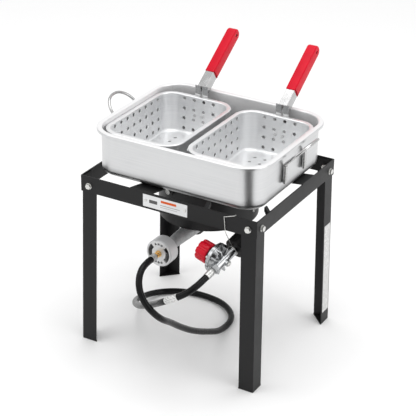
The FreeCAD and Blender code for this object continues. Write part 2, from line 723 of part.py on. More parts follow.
def hanger_wire():
    """Thin wire over the front rail that carries the regulator by its inlet arm."""
    y_face = -STAND_DEPTH / 2
    radius = 0.8
    clear = radius + 0.4
    top = STAND_HEIGHT + clear
    anchor = REGULATOR_CENTRE + INLET_AXIS * 31.0
    loop = Part.makeTorus(INLET_ARM_RADIUS + 1.1, radius, anchor, INLET_AXIS)
    up = anchor + Vector(-2.0, -2.0, INLET_ARM_RADIUS + 2.0)
    points = [(148.0, y_face + RAIL_PLATE + clear, STAND_HEIGHT - 12),
              (148.0, y_face + RAIL_PLATE + clear, top),
              (147.0, y_face - clear, top),
              (126.0, y_face - clear, STAND_HEIGHT - 6),
              (129.0, y_face - clear, STAND_HEIGHT - RAIL_HEIGHT - 3),
              (up.x, up.y, up.z)]
    pieces = [loop]
    for a, b in zip(points, points[1:]):
        pieces.append(rod(a, b, radius))
        pieces.append(Part.makeSphere(radius, Vector(*b)))
    pieces.append(rod(up, anchor + Vector(0, 0, INLET_ARM_RADIUS + 1.8), radius))
    return fuse(pieces)


# ---------------------------------------------------------------- hose

def hose_points():
    outlet = REGULATOR_CENTRE - INLET_AXIS * OUTLET_REACH
    before = outlet - INLET_AXIS * OUTLET_FIRST_RUN
    return list(HOSE_ROUTE) + [tuple(before), tuple(outlet)]


def hose():
    points = hose_points()
    solid, radii, length = tube_along(points, HOSE_DIAMETER / 2)
    section = math.pi * (HOSE_DIAMETER / 2) ** 2
    print("hose length %.0f mm, volume over section times length %.4f"
          % (length, solid.Volume / (section * length)))
    print("hose bend radii", " ".join("%.0f" % r for r in radii))
    return solid


def hose_tag():
    """Sleeve wrapped round a short stretch of the hose: one straight run and a bit of each bend."""
    edges = round_path(hose_points())[0].OrderedEdges
    before, straight, after = edges[2 * TAG_RUN - 1:2 * TAG_RUN + 2]
    reach = (TAG_LENGTH - straight.Length) / 2
    enter = before.LastParameter - reach / before.Curve.Radius
    leave = after.FirstParameter + reach / after.Curve.Radius
    lead = Part.Edge(before.Curve, enter, before.LastParameter)
    trail = Part.Edge(after.Curve, after.FirstParameter, leave)
    stretch = Part.Wire([lead, straight, trail])
    start = lead.valueAt(enter)
    direction = lead.tangentAt(enter)
    outside, inside = [
        stretch.makePipeShell([Part.Wire(Part.makeCircle(radius, start, direction))], True, False)
        for radius in (HOSE_DIAMETER / 2 + 0.7, HOSE_DIAMETER / 2 + 0.05)]
    return outside.cut(inside)


def burner_ferrule():
    z = BURNER_AXIS_HEIGHT
    return rod((0, HOSE_START, z), (0, ORIFICE_END, z), FERRULE_RADIUS)


# ---------------------------------------------------------------- pan

def pan():
    """Drawn aluminium pan: tapered walls, rounded bottom edge and a turned rim."""
    top_w = PAN_RIM_WIDTH - 2 * PAN_LIP
    top_d = PAN_RIM_DEPTH - 2 * PAN_LIP
    top_r = PAN_RIM_CORNER - PAN_LIP
    t = PAN_WALL
    outer = tapered_tub((PAN_BOTTOM_WIDTH, PAN_BOTTOM_DEPTH, PAN_BOTTOM_CORNER, PAN_BOTTOM, (0, 0)),
                        (top_w, top_d, top_r, PAN_RIM_TOP), PAN_BOTTOM_FILLET)
    inner = tapered_tub((PAN_BOTTOM_WIDTH - 2 * t, PAN_BOTTOM_DEPTH - 2 * t, PAN_BOTTOM_CORNER - t,
                         PAN_BOTTOM + t, (0, 0)),
                        (top_w - 2 * t, top_d - 2 * t, top_r - t, PAN_RIM_TOP + 1),
                        PAN_BOTTOM_FILLET - t)
    rim = plate(PAN_RIM_WIDTH, PAN_RIM_DEPTH, PAN_RIM_CORNER, PAN_RIM_TOP - t, PAN_RIM_TOP)
    lip = plate(PAN_RIM_WIDTH, PAN_RIM_DEPTH, PAN_RIM_CORNER, PAN_RIM_TOP - PAN_LIP_DROP,
                PAN_RIM_TOP - t)
    lip = lip.cut(plate(PAN_RIM_WIDTH - 2 * t, PAN_RIM_DEPTH - 2 * t, PAN_RIM_CORNER - t,
                        PAN_RIM_TOP - PAN_LIP_DROP - 1, PAN_RIM_TOP))
    shape = round_rim(fuse([outer, rim, lip]).cut(inner), PAN_RIM_TOP, PAN_RIM_ROUND)
    rivet_holes = [rod((s * 150, y, z), (s * 185, y, z), 2.1)
                   for s in (-1, 1) for y, z in pan_rivet_places()]
    return shape.cut(Part.makeCompound(rivet_holes))


def pan_wall_x(z):
    """Outer face of the pan's end wall at height z."""
    share = (z - PAN_BOTTOM) / (PAN_RIM_TOP - PAN_BOTTOM)
    top_w = PAN_RIM_WIDTH - 2 * PAN_LIP
    return (PAN_BOTTOM_WIDTH + (top_w - PAN_BOTTOM_WIDTH) * share) / 2


def pan_rivet_places():
    """(y, z) of the rivets: two beside each leg of a handle, on the side towards the middle."""
    return [(s * HANDLE_HALF_SPAN + 9, z) for s in (-1, 1) for z in (406.0, 426.0)]


def pan_handle(side):
    """Wire loop: two upright legs on the wall, joined by an arch that leans out past the rim."""
    leg_x = pan_wall_x(440) + HANDLE_WIRE_RADIUS + 1.0
    y = HANDLE_HALF_SPAN
    half = [(leg_x, y, HANDLE_LEG_BOTTOM), (leg_x, y, HANDLE_KNEE),
            (leg_x + HANDLE_REACH, y, HANDLE_TOP)]
    points = half + [(x, -y, z) for x, y, z in reversed(half)]
    bends = (8.0, HANDLE_ARCH_RADIUS, HANDLE_ARCH_RADIUS, 8.0)
    return bent_wire([(side * px, py, pz) for px, py, pz in points], HANDLE_WIRE_RADIUS, bends)


def bent_wire(points, radius, bends):
    """Round wire with one bend radius for each corner."""
    points = [Vector(*p) for p in points]
    edges = []
    start = points[0]
    for i in range(1, len(points) - 1):
        back = (points[i - 1] - points[i]).normalize()
        ahead = (points[i + 1] - points[i]).normalize()
        turn = math.pi - back.getAngle(ahead)
        bend = bends[i - 1]
        tangent = bend * math.tan(turn / 2)
        inward = Vector(back + ahead).normalize()
        middle = points[i] + inward * (math.hypot(bend, tangent) - bend)
        enter = points[i] + back * tangent
        leave = points[i] + ahead * tangent
        edges.append(Part.LineSegment(start, enter).toShape())
        edges.append(Part.Arc(enter, middle, leave).toShape())
        start = leave
    edges.append(Part.LineSegment(start, points[-1]).toShape())
    ring = Part.Wire(Part.makeCircle(radius, points[0], points[1] - points[0]))
    return Part.Wire(edges).makePipeShell([ring], True, False)


def handle_clip(side, y_side):
    """Formed plate riveted to the pan's wall, with a fold over the wire's leg."""
    y = y_side * HANDLE_HALF_SPAN
    z0 = CLIP_BOTTOM
    z1 = CLIP_TOP
    wall0 = pan_wall_x(z0)
    wall1 = pan_wall_x(z1)
    t = 1.2
    gap = 0.1
    base = prism([(side * (wall0 + gap), y + 2, z0), (side * (wall0 + gap + t), y + 2, z0),
                  (side * (wall1 + gap + t), y + 2, z1), (side * (wall1 + gap), y + 2, z1)],
                 (0, 12, 0))
    leg_x = side * (pan_wall_x(440) + HANDLE_WIRE_RADIUS + 1.0)
    fold = rod((leg_x, y, z0), (leg_x, y, z1), HANDLE_WIRE_RADIUS + 1.3)
    fold = fold.cut(rod((leg_x, y, z0 - 1), (leg_x, y, z1 + 1), HANDLE_WIRE_RADIUS + 0.1))
    outside = prism([(side * (wall0 + gap), y - 6, z0), (side * (wall0 + 20), y - 6, z0),
                     (side * (wall0 + 20), y - 6, z1), (side * (wall1 + gap), y - 6, z1)],
                    (0, 20, 0))
    fold = fold.common(outside)
    shape = fuse([fold, base])
    leg_bore = rod((leg_x, y, z0 - 1), (leg_x, y, z1 + 1), HANDLE_WIRE_RADIUS + 0.1)
    holes = [rod((side * 150, ry, rz), (side * 200, ry, rz), 2.1)
             for ry, rz in pan_rivet_places()]
    return shape.cut(leg_bore).cut(Part.makeCompound(holes))


def pan_rivets():
    rivets = []
    for s in (-1, 1):
        for y, z in pan_rivet_places():
            wall = pan_wall_x(z)
            shank = rod((s * (wall - 3), y, z), (s * (wall + 1.6), y, z), 2.0)
            head = rod((s * (wall + 1.5), y, z), (s * (wall + 3.2), y, z), 3.8)
            tail = rod((s * (wall - 3.2), y, z), (s * (wall - PAN_WALL - 0.2), y, z), 3.4)
            rivets.append(fuse([shank, head, tail]))
    return Part.makeCompound(rivets)


# ---------------------------------------------------------------- baskets

def basket_wall_y(z):
    """Outer face of a basket's rear wall at height z."""
    share = (z - BASKET_BOTTOM) / (BASKET_TOP - BASKET_BOTTOM)
    top_d = BASKET_RIM_DEPTH - 2 * BASKET_LIP
    return BASKET_CENTRE_Y + (BASKET_BOTTOM_DEPTH + (top_d - BASKET_BOTTOM_DEPTH) * share) / 2


def basket(side):
    """Perforated basket with a turned rim."""
    cx = side * BASKET_CENTRE_X
    centre = (cx, BASKET_CENTRE_Y)
    t = BASKET_WALL
    top_w = BASKET_RIM_WIDTH - 2 * BASKET_LIP
    top_d = BASKET_RIM_DEPTH - 2 * BASKET_LIP
    top_r = BASKET_RIM_CORNER - BASKET_LIP
    outer = tapered_tub((BASKET_BOTTOM_WIDTH, BASKET_BOTTOM_DEPTH, BASKET_BOTTOM_CORNER,
                         BASKET_BOTTOM, centre), (top_w, top_d, top_r, BASKET_TOP),
                        BASKET_BOTTOM_FILLET)
    inner = tapered_tub((BASKET_BOTTOM_WIDTH - 2 * t, BASKET_BOTTOM_DEPTH - 2 * t,
                         BASKET_BOTTOM_CORNER - t, BASKET_BOTTOM + t, centre),
                        (top_w - 2 * t, top_d - 2 * t, top_r - t, BASKET_TOP + 1),
                        BASKET_BOTTOM_FILLET - t)
    rim = plate(BASKET_RIM_WIDTH, BASKET_RIM_DEPTH, BASKET_RIM_CORNER, BASKET_TOP - t, BASKET_TOP,
                centre)
    lip = plate(BASKET_RIM_WIDTH, BASKET_RIM_DEPTH, BASKET_RIM_CORNER, BASKET_TOP - 4.0,
                BASKET_TOP - t, centre)
    lip = lip.cut(plate(BASKET_RIM_WIDTH - 2 * t, BASKET_RIM_DEPTH - 2 * t, BASKET_RIM_CORNER - t,
                        BASKET_TOP - 5.0, BASKET_TOP, centre))
    shape = round_rim(fuse([outer, rim, lip]).cut(inner), BASKET_TOP, BASKET_RIM_ROUND)
    return shape.cut(Part.makeCompound(basket_holes(cx) + basket_rivet_holes(cx)))


def basket_holes(cx):
    cy = BASKET_CENTRE_Y
    rows = [HOLE_TOP_ROW - HOLE_ROW_PITCH * i for i in range(4)]
    long_steps = [HOLE_PITCH * (i - 3.5) for i in range(8)]
    short_steps = [HOLE_PITCH * (i - 1.5) for i in range(4)]
    holes = []
    for z in rows:
        holes += [rod((cx - 80, cy + s, z), (cx + 80, cy + s, z), HOLE_RADIUS) for s in long_steps]
        holes += [rod((cx + s, cy - 119, z), (cx + s, cy + 119, z), HOLE_RADIUS)
                  for s in short_steps]
    for x in short_steps:
        holes += [rod((cx + x, cy + y, BASKET_BOTTOM - 1), (cx + x, cy + y, BASKET_BOTTOM + 3),
                      HOLE_RADIUS) for y in long_steps]
    return holes


def basket_rivet_places(cx):
    return [(cx + s * (TAB_GAP + TAB_WIDTH) / 2, 416.8) for s in (-1, 1)]


def basket_rivet_holes(cx):
    wall = basket_wall_y(416.8)
    return [rod((x, wall - 8, z), (x, wall + 8, z), 2.1) for x, z in basket_rivet_places(cx)]


def basket_rivets(side):
    rivets = []
    for x, z in basket_rivet_places(side * BASKET_CENTRE_X):
        wall = basket_wall_y(z)
        shank = rod((x, wall - 2.4, z), (x, wall + 1.8, z), 2.0)
        head = rod((x, wall + 1.8, z), (x, wall + 3.2, z), 3.4)
        tail = rod((x, wall - 2.8, z), (x, wall - BASKET_WALL - 0.2, z), 3.4)
        rivets.append(fuse([shank, head, tail]))
    return Part.makeCompound(rivets)


def handle_frame(shape, cx):
    """From the handle's own frame (Y along it, Z out of its top face) to its place."""
    copy = shape.copy()
    copy.rotate(Vector(0, 0, 0), X, HANDLE_ANGLE)
    copy.translate(Vector(cx, basket_wall_y(BASKET_TOP) + BASKET_LIP + 1.2, HANDLE_FOOT_Z))
    return copy


def channel_profile(width, depth, length, tip_radius):
    """Block with its far lower and upper edges rounded, seen from the side."""
    r = tip_radius
    a = Vector(0, 0, 0)
    b = Vector(0, length - r, 0)
    c = Vector(0, length, -r)
    d = Vector(0, length, -depth + r)
    e = Vector(0, length - r, -depth)
    f = Vector(0, 0, -depth)
    cut = r * (1 - math.sqrt(0.5))
    edges = [Part.LineSegment(a, b).toShape(),
             Part.Arc(b, Vector(0, length - cut, -cut), c).toShape(),
             Part.LineSegment(c, d).toShape(),
             Part.Arc(d, Vector(0, length - cut, -depth + cut), e).toShape(),
             Part.LineSegment(e, f).toShape(),
             Part.LineSegment(f, a).toShape()]
    face = Part.Face(Part.Wire(edges))
    solid = face.extrude(X * width)
    solid.translate(X * (-width / 2))
    return solid


def basket_handle(side):
    """Folded channel with its lower ends spread into two mounting tabs on the basket's wall."""
    cx = side * BASKET_CENTRE_X
    s = HANDLE_SHEET
    outside = channel_profile(HANDLE_WIDTH, HANDLE_DEPTH, HANDLE_LENGTH, 8.0)
    inside = channel_profile(HANDLE_WIDTH - 2 * s, HANDLE_DEPTH + 5, HANDLE_LENGTH - s, 6.6)
    inside.translate(Vector(0, 0, -s))
    channel = outside.cut(inside)
    hang = rod((-20, HANDLE_LENGTH - 11, -11), (20, HANDLE_LENGTH - 11, -11), GRIP_HOLE_RADIUS)
    channel = handle_frame(channel.cut(hang), cx)
    wall_y = basket_wall_y(BASKET_TOP) + BASKET_LIP + 0.4
    channel = channel.common(block(cx - 15, cx + 15, wall_y, 400, 440, 700))
    tabs = []
    for t in (-1, 1):
        x_in = cx + t * TAB_GAP / 2
        x_out = x_in + t * TAB_WIDTH
        x0, x1 = sorted((x_in, x_out))
        low = 400.0
        jog = 432.0
        points = [(x0, basket_wall_y(low) + 0.2, low), (x0, basket_wall_y(jog) + 0.2, jog),
                  (x0, wall_y, jog + 10), (x0, wall_y, HANDLE_FOOT_Z),
                  (x0, wall_y + s, HANDLE_FOOT_Z), (x0, wall_y + s, jog + 9.5),
                  (x0, basket_wall_y(jog) + 0.2 + s, jog - 0.5),
                  (x0, basket_wall_y(low) + 0.2 + s, low)]
        tabs.append(prism(points, (x1 - x0, 0, 0)))
        f0, f1 = sorted((cx + t * HANDLE_WIDTH / 2, cx + t * (HANDLE_WIDTH / 2 - s)))
        web = [(f0, wall_y, 452.0), (f0, wall_y, HANDLE_FOOT_Z), (f0, wall_y + 9, HANDLE_FOOT_Z + 5),
               (f0, wall_y + 12, HANDLE_FOOT_Z - 6), (f0, wall_y + 3, 456.0)]
        tabs.append(prism(web, (f1 - f0, 0, 0)))
    shape = fuse([channel] + tabs)
    wall = basket_wall_y(416.8)
    holes = [rod((x, wall - 8, z), (x, wall + 8, z), 2.1) for x, z in basket_rivet_places(cx)]
    return shape.cut(Part.makeCompound(holes))


def basket_grip(side):
    """Dipped vinyl sleeve over the channel, open underneath, with a hole to hang it by."""
    cx = side * BASKET_CENTRE_X
    g = GRIP_SHELL
    outer = channel_profile(HANDLE_WIDTH + 2 * g, HANDLE_DEPTH + 2 * g, HANDLE_LENGTH + g, 9.6)
    outer.translate(Vector(0, 0, g))
    inner = channel_profile(HANDLE_WIDTH, HANDLE_DEPTH + g + 5, HANDLE_LENGTH, 8.0)
    core = outer.cut(inner)
    core = core.common(block(-20, 20, GRIP_START, 300, -60, 60))
    hang = rod((-20, HANDLE_LENGTH - 11, -11), (20, HANDLE_LENGTH - 11, -11), GRIP_HOLE_RADIUS)
    return handle_frame(core.cut(hang), cx)


# ---------------------------------------------------------------- plates and label

def name_plate():
    """Blank plate on the front rail."""
    y = -STAND_DEPTH / 2
    shape = block(-52, 46, y - 0.8, y, 340.5, 366)
    for x in (-46.5, 40.5):
        shape = shape.cut(rod((x, y - 2, 353.2), (x, y + 1, 353.2), 1.7))
    return shape


def plate_rivets():
    y = -STAND_DEPTH / 2
    rivets = [fuse([rod((x, y - 1.9, 353.2), (x, y - 0.8, 353.2), 2.6),
                    rod((x, y - 0.8, 353.2), (x, y, 353.2), 1.6)]) for x in (-46.5, 40.5)]
    return Part.makeCompound(rivets)


def side_label():
    """Thin sticker on the rear right leg, following the leg's lean."""
    knee = STAND_HEIGHT - RAIL_HEIGHT
    face_x = STAND_WIDTH / 2 - RAIL_PLATE

    def lean(z):
        return LEG_SPLAY * (knee - z) / (knee - FOOT_PLATE)

    y1 = STAND_DEPTH / 2 - RAIL_PLATE - 2.5
    y0 = y1 - 26.0
    z0 = 26.0
    z1 = 229.0
    corners = [(face_x + lean(z), y + lean(z), z)
               for y, z in ((y0, z0), (y1, z0), (y1, z1), (y0, z1))]
    return prism(corners, (0.3, 0, 0))


# ---------------------------------------------------------------- output

def model():
    parts = rails()
    corners = {"front_left": (-1, -1), "front_right": (1, -1),
               "rear_left": (-1, 1), "rear_right": (1, 1)}
    for name, (sx, sy) in corners.items():
        parts["leg_" + name] = leg(sx, sy)
    parts["leg_feet"] = Part.makeCompound([foot(sx, sy) for sx, sy in corners.values()])
    parts["leg_bolts"] = Part.makeCompound([leg_bolt(*p) for p in bolt_places()])
    parts["leg_nuts"] = Part.makeCompound([leg_nut(*p) for p in bolt_places()])
    parts["pan_stops"] = pan_stops()
    parts["wind_shield"] = wind_shield()
    for i, angle in enumerate(SUPPORT_ANGLES):
        parts["pan_support_%d" % (i + 1)] = pan_support(angle)
    parts["shield_screws"] = shield_screws()
    parts["burner_bracket"] = burner_bracket()
    parts["burner_casting"] = burner_casting()
    parts["burner_cap"] = burner_cap()
    parts["burner_bolts"] = burner_bolts()
    parts["venturi_tube"] = venturi_tube()
    parts["mixer_bell"] = mixer_bell()
    parts["air_shutter"] = air_shutter()
    parts["orifice_fitting"] = orifice_fitting()
    parts["orifice_lock_nut"] = orifice_lock_nut()
    parts["burner_ferrule"] = burner_ferrule()
    parts["hose"] = hose()
    parts["hose_tag"] = hose_tag()
    for name, make in (("regulator_ferrule", regulator_ferrule), ("regulator_body", regulator_body),
                       ("regulator_cover", regulator_cover), ("cover_screws", cover_screws),
                       ("vent_plug", vent_plug), ("regulator_knob", regulator_knob),
                       ("inlet_nut", inlet_nut), ("inlet_nipple", inlet_nipple)):
        parts[name] = place_on_regulator(make())
    parts["hanger_wire"] = hanger_wire()
    parts["name_plate"] = name_plate()
    parts["plate_rivets"] = plate_rivets()
    parts["side_label"] = side_label()
    parts.update(pan_and_baskets())
    return parts


def pan_and_baskets():
    parts = {"pan": pan()}
    for name, side in (("left", -1), ("right", 1)):
        parts["pan_handle_" + name] = pan_handle(side)
        parts["handle_clips_" + name] = Part.makeCompound([handle_clip(side, y) for y in (-1, 1)])
        parts["basket_" + name] = basket(side)
        parts["basket_handle_" + name] = basket_handle(side)
        parts["basket_grip_" + name] = basket_grip(side)
        parts["basket_rivets_" + name] = basket_rivets(side)
    parts["pan_rivets"] = pan_rivets()
    for shape in parts.values():
        shape.translate(X * PAN_OFFSET)
    return parts


def save(parts):
    os.makedirs("parts", exist_ok=True)
    for name, shape in parts.items():
        shape.translate(Vector(-ORIGIN_RIGHT_OF_STAND, -ORIGIN_BEHIND_STAND, 0))
        shape.exportStep("parts/%s.step" % name)
        if not shape.isValid() or not shape.Solids:
            print("check the shape of", name)
    print(len(parts), "nodes")


save(model())
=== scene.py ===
import json
import math
import bpy
import bmesh
from mathutils import Matrix, Vector


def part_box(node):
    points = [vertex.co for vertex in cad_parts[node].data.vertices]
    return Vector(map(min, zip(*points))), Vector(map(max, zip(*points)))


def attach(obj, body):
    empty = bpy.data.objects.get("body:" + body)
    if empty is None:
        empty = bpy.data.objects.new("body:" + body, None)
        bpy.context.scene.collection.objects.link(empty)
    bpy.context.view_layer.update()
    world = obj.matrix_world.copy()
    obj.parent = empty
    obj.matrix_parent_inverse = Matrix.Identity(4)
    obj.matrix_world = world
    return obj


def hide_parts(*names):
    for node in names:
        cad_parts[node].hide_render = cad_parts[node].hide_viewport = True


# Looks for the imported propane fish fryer. Lengths are metres in the row frame, +Z up.
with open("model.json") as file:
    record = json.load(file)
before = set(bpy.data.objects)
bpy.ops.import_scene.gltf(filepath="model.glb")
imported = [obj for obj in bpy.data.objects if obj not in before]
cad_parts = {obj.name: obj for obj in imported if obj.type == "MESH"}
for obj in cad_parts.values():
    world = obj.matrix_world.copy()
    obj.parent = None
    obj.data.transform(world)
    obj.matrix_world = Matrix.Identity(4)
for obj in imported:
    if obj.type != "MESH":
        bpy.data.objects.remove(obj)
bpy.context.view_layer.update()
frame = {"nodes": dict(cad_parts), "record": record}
MM = 0.001

SHIELD_LOW, SHIELD_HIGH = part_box("wind_shield")
STAND = Vector(((SHIELD_LOW.x + SHIELD_HIGH.x) / 2, (SHIELD_LOW.y + SHIELD_HIGH.y) / 2, 0.0))
PAN_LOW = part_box("pan")[0].z
# Height above the pan's bottom of its band of painted shade, in metres.
PAINTED_SHADE_RISE = 0.022


def at(x, y, z):
    """Point given in millimetres from the middle of the stand, at floor level."""
    return STAND + Vector((x, y, z)) * MM


# ---------------------------------------------------------------- node helpers

class Nodes:
    """Short calls for building one material's node tree."""

    def __init__(self, name):
        self.material = bpy.data.materials.new(name)
        self.material.use_nodes = True
        self.tree = self.material.node_tree
        self.shader = self.tree.nodes["Principled BSDF"]
        self.coord = self.add("ShaderNodeTexCoord").outputs["Object"]

    def add(self, kind, **fields):
        node = self.tree.nodes.new(kind)
        for key, value in fields.items():
            setattr(node, key, value)
        return node

    def link(self, a, b):
        self.tree.links.new(a, b)

    def set(self, **values):
        for key, value in values.items():
            self.shader.inputs[key.replace("_", " ")].default_value = value

    def axes(self):
        """The three coordinates of the row frame, in metres."""
        split = self.add("ShaderNodeSeparateXYZ")
        self.link(self.coord, split.inputs["Vector"])
        return split.outputs

    def scaled(self, scale, rotation=(0, 0, 0)):
        node = self.add("ShaderNodeMapping")
        node.inputs["Scale"].default_value = scale
        node.inputs["Rotation"].default_value = rotation
        self.link(self.coord, node.inputs["Vector"])
        return node.outputs["Vector"]

    def noise(self, scale, detail=4.0, rough=0.55, vector=None, distortion=0.0):
        node = self.add("ShaderNodeTexNoise")
        node.inputs["Scale"].default_value = scale
        node.inputs["Detail"].default_value = detail
        node.inputs["Roughness"].default_value = rough
        node.inputs["Distortion"].default_value = distortion
        self.link(vector or self.coord, node.inputs["Vector"])
        return node.outputs["Fac"]

    def ramp(self, value, stops):
        node = self.add("ShaderNodeValToRGB")
        elements = node.color_ramp.elements
        while len(elements) < len(stops):
            elements.new(0.5)
        for element, (place, colour) in zip(elements, stops):
            element.position = place
            element.color = (*colour, 1.0)
        self.link(value, node.inputs["Fac"])
        return node.outputs["Color"]

    def spread(self, value, low, high, start=0.3, end=0.7):
        node = self.add("ShaderNodeMapRange")
        node.inputs["From Min"].default_value = start
        node.inputs["From Max"].default_value = end
        node.inputs["To Min"].default_value = low
        node.inputs["To Max"].default_value = high
        self.link(value, node.inputs["Value"])
        return node.outputs["Result"]

    def math(self, operation, a, b):
        node = self.add("ShaderNodeMath", operation=operation)
        for socket, value in zip(node.inputs, (a, b)):
            if isinstance(value, (int, float)):
                socket.default_value = value
            else:
                self.link(value, socket)
        return node.outputs["Value"]

    def mix(self, factor, a, b):
        node = self.add("ShaderNodeMix", data_type="RGBA")
        self.link(factor, node.inputs[0])
        for socket, value in ((node.inputs[6], a), (node.inputs[7], b)):
            if isinstance(value, tuple):
                socket.default_value = (*value, 1.0)
            else:
                self.link(value, socket)
        return node.outputs[2]

    def window(self, ranges):
        """One inside the given (axis, low, high) ranges of the row frame, zero outside."""
        axes = self.axes()
        mask = 1.0
        for axis, low, high in ranges:
            value = axes[axis]
            mask = self.math("MULTIPLY", self.math("GREATER_THAN", value, low), mask)
            mask = self.math("MULTIPLY", self.math("LESS_THAN", value, high), mask)
        return mask

    def facing_in(self, middle):
        """One on faces turned towards a point, zero on the others."""
        geometry = self.add("ShaderNodeNewGeometry")
        ray = self.add("ShaderNodeVectorMath", operation="SUBTRACT")
        ray.inputs[0].default_value = middle
        self.link(self.coord, ray.inputs[1])
        dot = self.add("ShaderNodeVectorMath", operation="DOT_PRODUCT")
        self.link(ray.outputs["Vector"], dot.inputs[0])
        self.link(geometry.outputs["True Normal"], dot.inputs[1])
        return self.math("GREATER_THAN", dot.outputs["Value"], 0.0)

    def surface(self, heights, edge=0.0):
        """Bump from (value, depth in metres) pairs over edges softened by a radius."""
        normal = None
        if edge:
            bevel = self.add("ShaderNodeBevel", samples=6)
            bevel.inputs["Radius"].default_value = edge
            normal = bevel.outputs["Normal"]
        for value, depth in heights:
            bump = self.add("ShaderNodeBump")
            bump.inputs["Strength"].default_value = 1.0
            bump.inputs["Distance"].default_value = depth
            self.link(value, bump.inputs["Height"])
            if normal:
                self.link(normal, bump.inputs["Normal"])
            normal = bump.outputs["Normal"]
        if normal:
            self.link(normal, self.shader.inputs["Normal"])

    def colour(self, output):
        self.link(output, self.shader.inputs["Base Color"])

    def roughness(self, output):
        self.link(output, self.shader.inputs["Roughness"])


# ---------------------------------------------------------------- materials

def powder_coat():
    """Satin black powder coat: fine orange peel, a little dust, softly rounded edges."""
    n = Nodes("black_powder_coat")
    peel = n.noise(900.0, 3.0, 0.6)
    grain = n.noise(2600.0, 2.0, 0.5)
    cloud = n.noise(14.0, 5.0, 0.6)
    n.colour(n.ramp(cloud, [(0.3, (0.006, 0.006, 0.0064)), (0.7, (0.010, 0.010, 0.0106))]))
    n.roughness(n.spread(cloud, 0.40, 0.52))
    n.set(Specular_IOR_Level=0.28)
    n.surface([(peel, 0.00006), (grain, 0.00002)], edge=0.0007)
    return n.material


VESSEL_MIDDLE = at(0, 0, 700)
# Base colour of the painted light on faces turned to the vessel's middle.
PAINTED_INSIDE_LIGHT = (0.93, 0.93, 0.935)
# Grey of the painted shade on the pan's lowest band.
PAINTED_SHADE_TONE = (0.16, 0.16, 0.16)


def drawn_aluminium(name, tone, rough, streak=(6.0, 6.0, 420.0), metallic=1.0, inside=None,
                    shade_band=None):
    """Bare drawn aluminium: faint level draw lines, soft clouding, small scuffs. inside is the
    painted brighter tone, with less metal, of faces turned to the vessel's middle (painted light);
    the last argument is the (z, height) of a band of painted shade at the bottom."""
    n = Nodes(name)
    lines = n.noise(1.0, 3.0, 0.7, n.scaled(streak))
    cloud = n.noise(9.0, 5.0, 0.55, distortion=0.4)
    scuff = n.noise(1.0, 4.0, 0.75, n.scaled((260.0, 260.0, 30.0), (0.5, 0.3, 0.0)))
    fine = n.noise(1900.0, 2.0, 0.5)
    light = tuple(min(1.0, c * tone) for c in (0.90, 0.905, 0.91))
    dark = tuple(c * tone for c in (0.80, 0.81, 0.82))
    colour = n.mix(n.spread(lines, 0.0, 1.0), n.ramp(cloud, [(0.3, dark), (0.7, light)]), light)
    n.set(Metallic=metallic)
    # Painted light: faces turned to the vessel's middle get a brighter tone and less metal, so
    # they pick up more light.
    if inside:
        mask = n.facing_in(VESSEL_MIDDLE)
        colour = n.mix(mask, colour, tuple(c * inside for c in PAINTED_INSIDE_LIGHT))
        n.link(n.spread(mask, metallic, 0.4, 0.0, 1.0), n.shader.inputs["Metallic"])
    # Painted shade: darkens the lowest band, most at the bottom, fading out higher up.
    if shade_band:
        bottom, rise = shade_band
        painted_shade = n.spread(n.axes()["Z"], 0.8, 0.0, bottom, bottom + rise)
        colour = n.mix(painted_shade, colour, PAINTED_SHADE_TONE)
    n.colour(colour)
    n.roughness(n.math("ADD", n.spread(cloud, rough - 0.04, rough + 0.05),
                       n.spread(scuff, -0.02, 0.02)))
    n.surface([(lines, 0.000012), (fine, 0.000003)], edge=0.0012)
    return n.material


def plated_steel(name, colour, rough, edge=0.0005):
    """Bright plated steel with slight ripples and a hazy patch here and there."""
    n = Nodes(name)
    cloud = n.noise(60.0, 4.0, 0.6)
    ripple = n.noise(300.0, 2.0, 0.5)
    dark = tuple(c * 0.86 for c in colour)
    n.colour(n.ramp(cloud, [(0.35, dark), (0.65, colour)]))
    n.roughness(n.spread(cloud, rough - 0.04, rough + 0.08))
    n.set(Metallic=1.0)
    n.surface([(ripple, 0.00003)], edge=edge)
    return n.material


def cast_metal(name, light, dark, rough, grain, metallic=1.0, edge=0.0008):
    """Cast skin: mottled tone and a grainy surface."""
    n = Nodes(name)
    mottle = n.noise(grain, 6.0, 0.65)
    pits = n.noise(grain * 7.0, 3.0, 0.6)
    n.colour(n.ramp(mottle, [(0.35, dark), (0.65, light)]))
    n.roughness(n.spread(mottle, rough - 0.06, rough + 0.10))
    n.set(Metallic=metallic)
    n.surface([(mottle, 0.00008), (pits, 0.00004)], edge=edge)
    return n.material


def plastic(name, colour, rough, coat, grain=700.0, depth=0.00002, edge=0.0006):
    """Moulded plastic or vinyl with a faint texture and slight tone changes."""
    n = Nodes(name)
    cloud = n.noise(30.0, 4.0, 0.55)
    skin = n.noise(grain, 3.0, 0.5)
    deep = tuple(c * 0.82 for c in colour)
    n.colour(n.ramp(cloud, [(0.3, deep), (0.7, colour)]))
    n.roughness(n.spread(skin, rough - 0.03, rough + 0.05))
    n.set(Coat_Weight=coat, Coat_Roughness=0.12, Specular_IOR_Level=0.16)
    n.surface([(skin, depth)], edge=edge)
    return n.material


def hose_rubber():
    """Smooth black rubber with a light extrusion grain and a little bloom."""
    n = Nodes("hose_rubber")
    cloud = n.noise(40.0, 5.0, 0.6)
    skin = n.noise(1500.0, 2.0, 0.5)
    n.colour(n.ramp(cloud, [(0.3, (0.004, 0.004, 0.0045)), (0.75, (0.009, 0.009, 0.0096))]))
    n.roughness(n.spread(cloud, 0.22, 0.30))
    n.set(Specular_IOR_Level=0.14)
    n.surface([(skin, 0.00002)])
    return n.material


LABEL_LINES = 260.0
LABEL_INK = (0.20, 0.20, 0.20)


